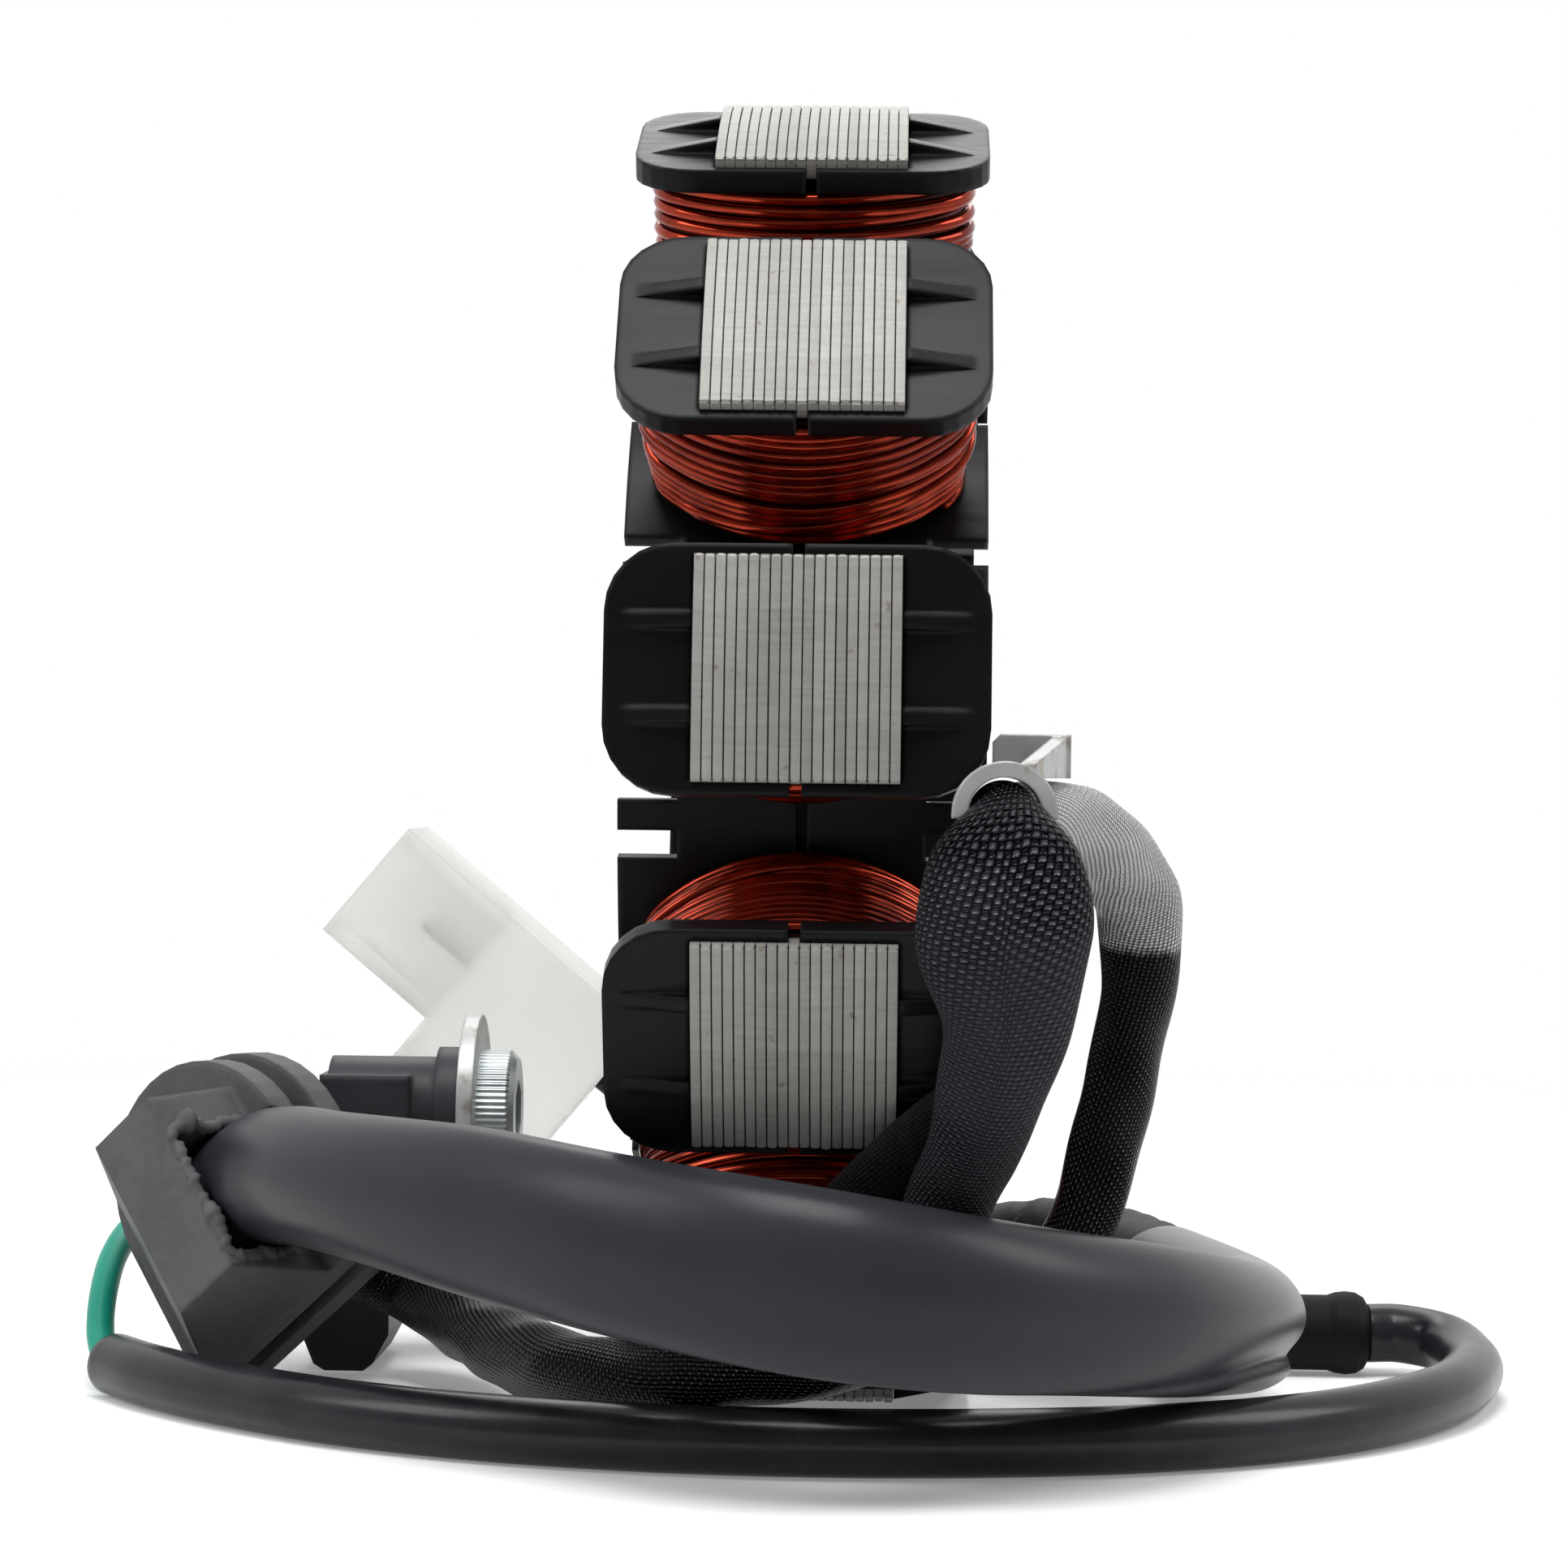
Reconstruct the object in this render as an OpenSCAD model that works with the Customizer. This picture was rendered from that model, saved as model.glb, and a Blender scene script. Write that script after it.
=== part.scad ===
// Wound stator of a small permanent-magnet alternator, with its lead harness.
// Millimetres. X runs along the bore, Z is up, the origin is the bore centre at mid-stack.
// It stands on one pole face and is propped by its own harness.

/* [Core] */
// Outside diameter across the pole faces
core_d = 110; // [106:0.5:114]
// Thickness of one punched sheet
sheet_t = 0.8; // [0.6:0.05:0.9]
// Number of sheets in the stack
sheets = 19; // [16:1:21]
// Bore diameter
bore_d = 40; // [36:0.5:43]
// Outside diameter of the yoke ring
yoke_d = 69; // [67:0.5:71]
// Width of a pole neck
neck_w = 7; // [6:0.1:7.6]
// Width of a pole face
face_w = 16.6; // [15:0.1:17]
// Radial thickness of a pole shoe at its middle
shoe_t = 2.2; // [2:0.1:2.6]
// Width of the line between two sheets on a pole face
sheet_line = 0.16; // [0.1:0.02:0.24]
// Depth of the line between two sheets on a pole face
sheet_line_depth = 0.3; // [0.2:0.05:0.5]
// Diameter of a mounting hole
bolt_hole_d = 6.5; // [5.5:0.1:7]
// Pitch circle of mounting holes and rivets
bolt_circle_d = 53; // [51:0.5:55]
// Rivet shank diameter
rivet_d = 4; // [3:0.1:4.5]
// Rivet head diameter
rivet_head_d = 7; // [6:0.1:8]
// Rivet head height
rivet_head_h = 1.2; // [0.8:0.1:1.8]

/* [Insulator] */
// Wall round a pole neck
insul_t = 0.9; // [0.6:0.05:1]
// Open seam between the two halves at mid-stack
seam = 0.9; // [0.4:0.1:1.4]
// Thickness of the ring wall between the poles
rim_t = 1.5; // [1.2:0.1:1.8]
// Width of the ring wall along the bore
rim_w = 28.4; // [27:0.2:29]
// Width of a wire slot in the ring wall
slot_w = 2.2; // [1.6:0.1:2.4]
// Depth of a wire slot in the ring wall
slot_depth = 4.6; // [3:0.2:5]
// Width of the finger between two slots
finger_w = 2.4; // [1.8:0.1:3]
// Distance from a flange's end back from the ring wall's edge
flange_inset = 0.1; // [0.05:0.05:0.4]
// Width of a pole flange round the ring
flange_w = 18.4; // [17.8:0.1:19.4]
// Corner radius of a pole flange
flange_corner = 5; // [3:0.5:6]
// Thickness of a pole flange under the shoe
flange_t = 0.9; // [0.7:0.05:1.2]
// Step from the pole face down to the flange
flange_step = 1.3; // [1:0.05:1.6]
// Thickness of a flange rib
rib_t = 1.2; // [0.8:0.1:1.6]
// Distance between the two ribs at one end of a flange
rib_pitch = 7; // [5:0.5:9]

/* [Windings] */
// Wire diameter with its enamel
wire_d = 1; // [0.9:0.02:1.04]
// Pitch of the turns
wire_pitch = 1.1; // [1.06:0.02:1.2]
// Distance from a coil's end back from the flange's end
coil_inset = 1; // [0.7:0.05:1.4]
// Width of a coil at its outer end
coil_w = 17; // [16.4:0.1:17.6]
// Radius of the coil's round ends
coil_end_r = 5.5; // [5:0.1:6]
// How much a coil is slimmer on each side at its inner end
coil_taper = 1.7; // [1:0.1:1.8]

/* [Harness] */
// Diameter of the thin tube
thin_d = 5.2; // [4.6:0.1:5.2]
// Diameter of the green wire
green_d = 2.4; // [1.8:0.1:2.6]
// Diameter of a connector wire
feed_d = 2.6; // [2:0.1:2.7]
// Diameter of the terminal boot
boot_d = 7.4; // [7:0.1:7.4]
// Length of the terminal boot
boot_l = 11; // [9:0.5:11]
// Bore of the terminal boot
boot_bore = 5; // [4.4:0.1:5.4]
// Thickness of the clip's strip
clip_t = 1.15; // [0.8:0.05:1.3]
// Radius of a grommet flange
grommet_r = 10.6; // [10:0.1:10.6]
// Thickness of a grommet flange
grommet_flange = 2.6; // [2:0.1:2.8]
// Groove between the grommet's flanges
grommet_groove = 2.2; // [1.6:0.1:2.4]
// Length of the connector housing
plug_l = 30; // [27:0.5:31]
// Width of the connector housing at its mouth
plug_w = 12.9; // [11.5:0.1:13.5]
// Depth of the connector housing
plug_depth = 16; // [14.5:0.5:17]
// Wall of the connector housing
plug_wall = 1.5; // [1.2:0.1:1.8]
// Diameter of the pickup's washer
washer_d = 17; // [14:0.5:17]
// Diameter of the pickup's screw head
screw_d = 10.8; // [10:0.1:11.4]

/* [Hidden] */
// Clearance between the core and the insulator, and between wire and insulator
fit = 0.05;
wind_gap = 0.1;
pole_turn = 6;
core_r = core_d / 2;
bore_r = bore_d / 2;
yoke_r = yoke_d / 2;
stack_h = sheets * sheet_t;
stack_x = stack_h / 2;
shoe_in = core_r - shoe_t;
hole_r = bolt_circle_d / 2;
rivet_gap = 0.05;
insul_x = stack_x + fit + insul_t;
insul_y = neck_w / 2 + fit + insul_t;
insul_corner = 2.5;
rim_r = yoke_r + fit + rim_t;
rim_mid = rim_r - rim_t / 2;
rim_x = rim_w / 2;
slot_turn = 18;
slot_step = (slot_w + finger_w) / rim_r * 180 / PI;
flange_top = core_r - flange_step;
flange_under = shoe_in - fit - flange_t;
flange_x = rim_x - flange_inset;
coil_x = flange_x - coil_inset;
flange_y = max(flange_w / 2, face_w / 2 + fit + 0.6);
coil_in = rim_r + wind_gap;
coil_out = flange_under - wind_gap;
coil_h = coil_out - coil_in;
turns = floor(coil_h / wire_pitch);
turn_step = coil_h / turns;
turn_h = min(0.86 * wire_d, turn_step - 0.15);
end_x = coil_x - coil_end_r;
side_gain = coil_w / 2 - coil_end_r;
side_y = (end_x * end_x - side_gain * side_gain) / (2 * side_gain);
side_r = coil_w / 2 + side_y;
side_turn = atan2(end_x, side_y);
copper = [0.72, 0.25, 0.12];
black = [0.09, 0.09, 0.1];
rubber = [0.16, 0.16, 0.18];
zinc = [0.76, 0.78, 0.77];

// Routes of the cords, point by point, with half height and half thickness
sleeve_path = [[-49.1, -9, -40.1], [-45.2, -11.6, -36.5], [-41.8, -17, -35.3], [-37.3, -24.5, -35.1],
    [-31, -33, -35.2], [-23, -41.5, -35.7], [-12.5, -50.2, -36.7], [1, -55.5, -38.3],
    [13.5, -53, -40.3], [25.5, -42.5, -42.6], [33, -29, -44.8], [36.2, -14, -46.6],
    [35, -1, -47.2], [31.5, 9.5, -46.8]];
sleeve_half = [[5.6, 5.6], [5.6, 5.6], [5.6, 5.6], [5.7, 5.5], [6, 5.1], [6.5, 4.6], [6.8, 4.3],
    [6.8, 4.3], [6.4, 4.4], [5.8, 5], [5.5, 5.3], [5.5, 5.5], [5.5, 5.5], [5.5, 5.5]];
tape_path = [[31.5, 9.5, -46.8], [28, 20, -46.4], [22, 31.5, -46.8], [13, 41, -49], [5, 45, -49]];
cloth_path = [[15.6, 0.5, -46], [19, -3, -44.6], [22.6, -6.5, -41], [24.6, -9, -34.5],
    [26.2, -12, -26.5], [27.3, -16, -18.5], [26.8, -21, -12], [24, -31, -7.8], [19.6, -43, -5.2],
    [15.1, -54, -4.6], [15, -59.5, -4.6], [15, -62.4, -7.4], [15, -61.6, -13], [15.3, -59, -19.5],
    [14.3, -55.5, -25], [13, -51.8, -29.6], [11.4, -48.6, -33.8], [10, -46.8, -39],
    [7.5, -44.6, -43.6], [3, -42.4, -46], [-4, -39.8, -47.2], [-11, -36, -48.4],
    [-18, -29.5, -49], [-23.5, -19, -49], [-27.5, -9, -48.8], [-30.5, -1.5, -48.3], [-34, 2.6, -47],
    [-37.5, 2.4, -45.4], [-40.2, 0.7, -43.7]];
cloth_half = [[2.8, 2.8], [2.9, 2.9], [3, 2.8], [3, 2.6], [3, 2.4], [3.2, 2], [3.4, 1.8],
    [3.4, 2], [3, 2.2], [2.2, 2.1], [2.2, 2.1], [4.2, 2.1], [6.6, 2.1], [4.9, 2.1], [4.1, 2.1],
    [3.5, 2], [3.2, 2], [3.2, 2], [3.3, 2.1], [3.4, 2.2], [3.4, 2.5], [3.2, 2.8],
    [3.2, 3], [3.2, 3.2], [3.2, 3.2], [3.2, 3.2], [3.2, 3.2], [3.2, 3.2], [3.2, 3.2]];
thin_z = -52.4;
thin_path = [[-58, -8.5, thin_z], [-53, -15.5, thin_z], [-46, -23, thin_z], [-36, -31, thin_z],
    [-24, -37, thin_z], [-11, -40.5, thin_z], [1.5, -41.5, thin_z], [14, -40.5, thin_z],
    [26, -37.5, thin_z], [37, -32, thin_z], [46, -24, thin_z], [53, -13, thin_z], [57, -1, thin_z],
    [57.6, 7, -52.2], [56.5, 12.5, -51.7], [53, 15, -51.3], [50, 15, -51.3]];
green_path = [[-58, -8.5, thin_z], [-59, -7.1, thin_z], [-60.2, -4.3, -50.3], [-60.7, -0.6, -47.3],
    [-60.7, 4, -44.6], [-59.8, 9, -42.6], [-57.3, 13, -41.3], [-53.5, 14.8, -40.4], [-49.2, 12.3, -40],
    [-49.3, 7.1, -39.9], [-50.4, 5.5, -39.9]];
feed_path = [[5, 45, -49], [-3, 49, -49], [-11.5, 50, -41.6], [-17.9, 50, -34.7],
    [-21.3, 50, -31.8]];
feed_side = [[1.25, 2.5, 0], [1.25, 2.5, 0], [0.6, 2.7, 0], [0, 2.8, 0], [0, 2.8, 0]];
boot_at = [50, 15, -51.3];
boot_r = boot_d / 2;
clip_x = 15;
clip_half = 3.75;
clip_top = -0.9;
clip_leg = -5;
clip_front = -60.4;
clip_back = -55;
tab_y = -45;
tab_x = [14.4, 20.2];
tab_top = 1.2;
web_x = 16.2;
web_z = clip_top - clip_t;
grommet_at = [-51.5, -4.4, -37.6];
grommet_turn = -34;
grommet_tilt = -38;
grommet_flat = 13.8;
grommet_back = 2 * grommet_flange + grommet_groove;
pocket_at = [1.6, -2.5, -4.8];
pocket_r = 6.3;
hood_front = -9.5;
hood_wall = 0.8;
hood_top = 4.9;
hood_low = -11.6;
pickup_at = [-45, 7, -55];
screw_at = [-31, 13, -32.3];
arm_l = 12;
washer_t = 1.4;
plug_at = [-44.3, 50, -12.5];
plug_tilt = 40;
plug_step_at = 13.2;
plug_step = 5.3;
plug_mouth = 13;

// Swept tubes: each ring is an ellipse square to the route, its flat side facing the given way
function unit(v) = v / norm(v);
function heading(p, i) = unit(p[min(i + 1, len(p) - 1)] - p[max(i - 1, 0)]);
function ring(p, i, half, face, n) = let (t = heading(p, i), s = unit(cross(t, face)), q = cross(s, t))
    [for (j = [0 : n - 1]) p[i] + half[0] * cos(360 * j / n) * s + half[1] * sin(360 * j / n) * q];
function level(p) = [for (i = [0 : len(p) - 1]) cross(heading(p, i), [0, 0, 1])];
function outward(p) = [for (q = p) [0, q[1], q[2]]];
function same(p, v) = [for (q = p) v];

module swept(path, half, face, n = 10) {
    m = len(path);
    points = [for (i = [0 : m - 1]) each ring(path, i, half[i], face[i], n)];
    sides = [for (i = [0 : m - 2], j = [0 : n - 1], h = [0, 1]) let (k = (j + 1) % n)
        h == 0 ? [i * n + j, i * n + k, (i + 1) * n + k] : [i * n + j, (i + 1) * n + k, (i + 1) * n + j]];
    start = [[for (j = [n - 1 : -1 : 0]) j]];
    finish = [[for (j = [0 : n - 1]) (m - 1) * n + j]];
    polyhedron(points, concat(start, sides, finish));
}

// A flat plate: four corners carried along one step
module wedge(corners, step) polyhedron(concat(corners, [for (c = corners) c + step]),
    [[3, 2, 1, 0], [4, 5, 6, 7], [0, 1, 5, 4], [1, 2, 6, 5], [2, 3, 7, 6], [3, 0, 4, 7]]);

// Outlines
function round_box(x, y, r) = [for (k = [0 : 3], a = [0 : 15 : 90])
    [(k == 0 || k == 3 ? 1 : -1) * (x - r), (k < 2 ? 1 : -1) * (y - r)]
    + r * [cos(90 * k + a), sin(90 * k + a)]];
function arch(r, drop) = concat([for (a = [0 : 10 : 180]) r * [cos(a), sin(a)]],
    [[-r, -drop], [r, -drop]]);

// Placing
module along_x() rotate([90, 0, 90]) children();
function pole_angle(k) = 90 - pole_turn - 30 * k;
module at_pole(k) rotate([pole_angle(k), 0, 0]) children();
module each_pole() for (k = [0 : 11]) at_pole(k) children();
module each_pole_flat() for (k = [0 : 11]) rotate(pole_angle(k)) children();
module each_hole(turn) for (k = [0 : 2]) rotate(turn + 120 * k) translate([0, hole_r]) children();

// Core: one stack of punched sheets with twelve T-shaped poles
module pole_flat() {
    translate([-neck_w / 2, bore_r + 4]) square([neck_w, core_r - bore_r - 3]);
    translate([-face_w / 2, shoe_in]) square([face_w, shoe_t + 1]);
}

module core_flat() difference() {
    intersection() {
        circle(core_r, $fn = 180);
        union() {
            circle(yoke_r, $fn = 120);
            each_pole_flat() pole_flat();
        }
    }
    circle(bore_r, $fn = 120);
    each_hole(0) circle(d = bolt_hole_d, $fn = 32);
    each_hole(60) circle(rivet_d / 2 + rivet_gap, $fn = 24);
}

module lamination_stack() color([0.66, 0.65, 0.62]) difference() {
    along_x() linear_extrude(stack_h, center = true) core_flat();
    for (i = [1 : sheets - 1]) along_x() translate([0, 0, i * sheet_t - stack_x])
        linear_extrude(sheet_line, center = true) difference() {
            circle(core_r + 1, $fn = 180);
            circle(core_r - sheet_line_depth, $fn = 180);
        }
}

module stack_rivets() color([0.6, 0.6, 0.6]) for (k = [0 : 2]) rotate([60 + 120 * k, 0, 0])
    translate([0, 0, hole_r]) rotate([0, 90, 0]) {
        cylinder(h = stack_h + rivet_head_h, d = rivet_d, center = true, $fn = 24);
        for (s = [0, 1]) mirror([0, 0, s]) translate([0, 0, stack_x])
            cylinder(h = rivet_head_h, d1 = rivet_head_d, d2 = rivet_head_d - rivet_head_h, $fn = 32);
    }

// Insulator: two moulded halves that line the slots, wrap the necks and flange the poles
module beyond(x) intersection() {
    children();
    translate([x, -40]) square([80, 80]);
}

module ring_part(x0, x1, r0, r1) along_x() translate([0, 0, x0]) linear_extrude(x1 - x0) difference() {
    circle(r1, $fn = 120);
    circle(r0, $fn = 120);
}

module rib() rotate([90, 0, 0]) linear_extrude(rib_t, center = true) polygon([
    [stack_x + fit, flange_top - 0.6], [flange_x - 1.2, flange_top - 0.6],
    [flange_x - 1.2, flange_top], [stack_x + fit, core_r - 0.25]]);

module insulator_half() difference() {
    union() {
        ring_part(seam / 2, insul_x, yoke_r + fit, rim_r);
        ring_part(stack_x + fit, insul_x, yoke_r - 2.4, rim_r - rim_t / 2);
        ring_part(insul_x - insul_t / 2, rim_x, rim_r - rim_t, rim_r);
        each_pole() {
            translate([0, 0, rim_mid]) linear_extrude(flange_under + flange_t / 2 - rim_mid)
                beyond(seam / 2) polygon(round_box(insul_x, insul_y, insul_corner));
            translate([0, 0, flange_under]) linear_extrude(flange_top - flange_under)
                beyond(seam / 2) polygon(round_box(flange_x, flange_y, flange_corner));
            for (s = [-1, 1]) translate([0, s * rib_pitch / 2, 0]) rib();
        }
    }
    each_pole() {
        translate([-1, -neck_w / 2 - fit, yoke_r - 3])
            cube([stack_x + fit + 1, neck_w + 2 * fit, core_r - yoke_r + 5]);
        translate([-1, -face_w / 2 - fit, shoe_in - fit])
            cube([stack_x + fit + 1, face_w + 2 * fit, shoe_t + 3]);
    }
    for (k = [0 : 11], a = [slot_turn, slot_turn - slot_step]) rotate([pole_angle(k) + a, 0, 0])
        translate([rim_x - slot_depth, -slot_w / 2, rim_r - rim_t - 1])
            cube([slot_depth + 1, slot_w, rim_t + 2]);
}

module insulator_right() color(black) insulator_half();
module insulator_left() color(black) mirror([1, 0, 0]) insulator_half();

// Coil: turn upon turn on an oval made of four arcs, slimmer towards the bore
function half_oval(o) = concat(
    [for (i = [0 : 6]) let (a = (i / 3 - 1) * (90 - side_turn))
        [end_x, 0] + (coil_end_r + o) * [cos(a), sin(a)]],
    [for (i = [1 : 5]) let (a = 90 + (i / 3 - 1) * side_turn)
        [0, -side_y] + (side_r + o) * [cos(a), sin(a)]]);
function oval(o) = concat(half_oval(o), [for (q = half_oval(o)) -q]);
function turn_offset(i) = -coil_taper * pow(1 - (i + 0.5) / turns, 1.5);

module coil(k) color(copper) at_pole(k) translate([0, 0, coil_in]) difference() {
    union() {
        for (i = [0 : turns - 1]) translate([0, 0, (i + 0.5) * turn_step - turn_h / 2])
            linear_extrude(turn_h) polygon(oval(turn_offset(i)));
        for (i = [0 : 2]) translate([0, 0, i * coil_h / 3])
            linear_extrude(coil_h / 3) polygon(oval(turn_offset((i + 0.1) * turns / 3) - wire_d / 3));
    }
    translate([0, 0, -1]) linear_extrude(coil_h + 2)
        polygon(round_box(insul_x + wind_gap, insul_y + wind_gap, insul_corner + wind_gap));
}

// Leads from the winding to the cloth sleeve
module winding_leads() color(copper) for (s = [-1, 0, 1]) {
    drop = 0.7 * abs(s);
    path = [[coil_x + 0.2, 1 + 1.1 * s, drop - 46.4], [coil_x + 1.1, 0.9 + 1.1 * s, drop - 46.3],
        [15 + 0.7 * s, 0.8 + 1.1 * s, drop - 46.2]];
    swept(path, same(path, [0.5, 0.5]), same(path, [0, 0, 1]), 8);
}

module cloth_sleeve() color([0.11, 0.11, 0.12]) swept(cloth_path, cloth_half, outward(cloth_path));

// Clip: an arch of strip crimped over the cloth sleeve, bent back to a tab behind
module cable_clip() color(zinc) {
    translate([clip_x, clip_back, clip_top - clip_half]) rotate([90, 0, 0])
        linear_extrude(clip_back - clip_front) difference() {
            polygon(arch(clip_half, clip_top - clip_half - clip_leg));
            polygon(arch(clip_half - clip_t, clip_top - clip_half - clip_leg + 1));
        }
    translate([0, tab_y, 0]) rotate([90, 0, 0]) linear_extrude(clip_t) polygon([[tab_x[0], web_z],
        [tab_x[1], web_z], [tab_x[1], tab_top], [tab_x[0] + 0.6, tab_top], [tab_x[0], tab_top - 0.6]]);
    wedge([[web_x, clip_back - 0.6, web_z], [web_x, clip_back - 0.6, clip_top - 0.1],
        [tab_x[1] - clip_t, tab_y - 0.2, tab_top], [tab_x[1] - clip_t, tab_y - 0.2, web_z]], [clip_t, 0, 0]);
}

// Grommet: two arched flanges with a groove, a hood for the main sleeve and a nozzle behind
module at_grommet() translate(grommet_at) rotate([0, 0, grommet_turn]) rotate([0, grommet_tilt, 0])
    children();
module arch_plate(y0, y1, r, drop) translate([0, y1, 0]) rotate([90, 0, 0])
    linear_extrude(y1 - y0) polygon(arch(r, drop));

module grommet() color(rubber) at_grommet() difference() {
    union() {
        arch_plate(0, grommet_flange, grommet_r, grommet_flat);
        arch_plate(grommet_flange - 0.2, grommet_flange + grommet_groove + 0.2, grommet_r - 2.2,
            grommet_flat - 2.2);
        arch_plate(grommet_flange + grommet_groove, grommet_back, grommet_r + 0.4, grommet_flat);
        arch_plate(grommet_back - 0.2, grommet_back + 1.2, grommet_r - 2, grommet_flat - 2.4);
        intersection() {
            translate([0, 0, -grommet_flat]) linear_extrude(grommet_flat + hood_top) polygon([
                [-9.8, 0.4], [-0.4, hood_front], [6.9, hood_front], [8, 2], [-9.8, 2]]);
            translate([-12, 0, 0]) along_x() linear_extrude(24) polygon([[hood_front, hood_top],
                [2, hood_top], [2, -grommet_flat], [0, -grommet_flat], [hood_front, hood_low]]);
        }
        translate([1.4, 10.2, -8.6]) rotate([-127.5, 0, 0]) translate([0, 0, -7])
            cylinder(h = 7, r = 4.4, $fn = 32);
    }
    translate(pocket_at) rotate([0, 90, 0]) cylinder(h = 20, r = pocket_r, $fn = 40);
    translate([pocket_at[0] + 0.8, hood_front + hood_wall, pocket_at[2] - pocket_r + 0.3])
        cube([20, pocket_at[1] + 0.5 - hood_front - hood_wall, 2 * pocket_r - 0.6]);
}

module main_sleeve() color([0.2, 0.2, 0.23]) swept(sleeve_path, sleeve_half, level(sleeve_path), 12);
module sleeve_tape() color([0.08, 0.08, 0.09])
    swept(tape_path, same(tape_path, [5.3, 5.3]), level(tape_path));

// Connector: a nylon housing with an open mouth and two blade terminals
module at_plug() translate(plug_at) rotate([0, plug_tilt, 0]) children();

module connector_housing() color([0.92, 0.91, 0.89]) at_plug() difference() {
    union() {
        translate([0, -plug_depth / 2, -plug_w / 2]) cube([plug_l, plug_depth, plug_w]);
        translate([plug_step_at, -plug_depth / 2, -plug_w / 2 - plug_step])
            cube([plug_l - plug_step_at, plug_depth, plug_step + 1]);
    }
    translate([-1, plug_wall - plug_depth / 2, plug_wall - plug_w / 2])
        cube([plug_mouth + 1, plug_depth - 2 * plug_wall, plug_w - 2 * plug_wall]);
}

module connector_terminals() color([0.5, 0.48, 0.42]) at_plug() for (s = [-1, 1])
    translate([plug_mouth - 6, 3.4 * s - 2, -0.4]) cube([6, 4, 0.8]);

module connector_wires() color([0.12, 0.12, 0.13]) for (s = [-1, 0, 1]) {
    path = feed_path + s * feed_side;
    swept(path, same(path, [feed_d / 2, feed_d / 2]), same(path, [0, 1, 0]), 8);
}

module thin_tube() color([0.13, 0.13, 0.14])
    swept(thin_path, same(thin_path, [thin_d / 2, thin_d / 2]), level(thin_path));

// Boot: a rubber cap over a round terminal, the thin tube meets its closed end
module tube_boot() color(rubber) translate(boot_at) rotate([0, -90, 0]) difference() {
    rotate_extrude($fn = 48) polygon([[0, 0], [boot_r - 1.2, 0], [boot_r - 0.5, 0.4], [boot_r - 0.1, 1.1],
        [boot_r, 2], [boot_r - 0.1, 2.9], [boot_r - 0.35, 3.6], [boot_r - 0.35, boot_l], [0, boot_l]]);
    translate([0, 0, 3]) cylinder(h = boot_l, d = boot_bore, $fn = 32);
}

module boot_terminal() color([0.75, 0.62, 0.3]) translate(boot_at - [3, 0, 0]) rotate([0, -90, 0])
    difference() {
    cylinder(h = 6, d = boot_bore - 2 * fit, $fn = 32);
    translate([0, 0, 1.2]) cylinder(h = 6, d = boot_bore - 1.2, $fn = 32);
}

module green_wire() color([0.05, 0.55, 0.45])
    swept(green_path, same(green_path, [green_d / 2, green_d / 2]), same(green_path, [1, 0, 0]), 8);

// Pickup coil: a moulded body with a core pin, held by a screw and washer
module pickup_body() color(black) difference() {
    union() {
        translate(pickup_at + [0, 13, 0]) rotate([90, 0, 0]) linear_extrude(13) polygon([[0, 18], [8, 18],
            [8, 3.2], [6.6, 0.6], [5.8, 0], [2.4, 0], [1.4, 0.6], [0, 4]]);
        translate(pickup_at + [1.5, 1, 17]) cube([8, 11, 9]);
        translate(screw_at - [arm_l, 0, 0]) rotate([0, 90, 0]) cylinder(h = arm_l - 1, r = 4.7, $fn = 48);
        translate(screw_at - [2.4, 0, 0]) rotate([0, 90, 0]) cylinder(h = 2.4, r = 5.6, $fn = 48);
    }
    translate(screw_at - [9.5, 0, 0]) rotate([0, 90, 0]) cylinder(h = 20, r = 3.05, $fn = 32);
    translate(pickup_at + [5, 8, 8]) rotate([-90, 0, 0]) cylinder(h = 8, r = 2.05, $fn = 32);
}

module pickup_core() color([0.6, 0.6, 0.6]) translate(pickup_at + [5, 8, 8]) rotate([-90, 0, 0])
    cylinder(h = 8, r = 2, $fn = 32);

module pickup_washer() color(zinc) translate(screw_at) rotate([0, 90, 0]) difference() {
    cylinder(h = washer_t, d = washer_d, $fn = 64);
    translate([0, 0, -1]) cylinder(h = 4, r = 3.2, $fn = 32);
}

module pickup_screw() color(zinc) translate(screw_at) rotate([0, 90, 0]) difference() {
    union() {
        translate([0, 0, -7.5]) cylinder(h = 10, r = 3, $fn = 32);
        translate([0, 0, washer_t]) cylinder(h = 2.6, d = screw_d, $fn = 48);
        translate([0, 0, washer_t + 2.6]) cylinder(h = 0.7, d1 = screw_d, d2 = screw_d - 1.4, $fn = 48);
    }
    translate([0, 0, washer_t + 0.8]) cylinder(h = 4, d = 5.6, $fn = 6);
}

module pickup_lead() color(black) {
    path = [[-45.6, 3.7, -39.8], [-44.9, 4.8, -39.8], [-44.1, 5.8, -39.8]];
    swept(path, same(path, [1.4, 1.4]), same(path, [0, 0, 1]), 8);
}

lamination_stack();
stack_rivets();
insulator_left();
insulator_right();
coil(0);  // coil_01
coil(1);  // coil_02
coil(2);  // coil_03
coil(3);  // coil_04
coil(4);  // coil_05
coil(5);  // coil_06
coil(6);  // coil_07
coil(7);  // coil_08
coil(8);  // coil_09
coil(9);  // coil_10
coil(10);  // coil_11
coil(11);  // coil_12
winding_leads();
cloth_sleeve();
cable_clip();
grommet();
main_sleeve();
sleeve_tape();
connector_wires();
connector_housing();
connector_terminals();
thin_tube();
tube_boot();
boot_terminal();
green_wire();
pickup_body();
pickup_core();
pickup_screw();
pickup_washer();
pickup_lead();
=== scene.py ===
import math

import bpy
import numpy as np
from mathutils import Matrix, Vector


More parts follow.
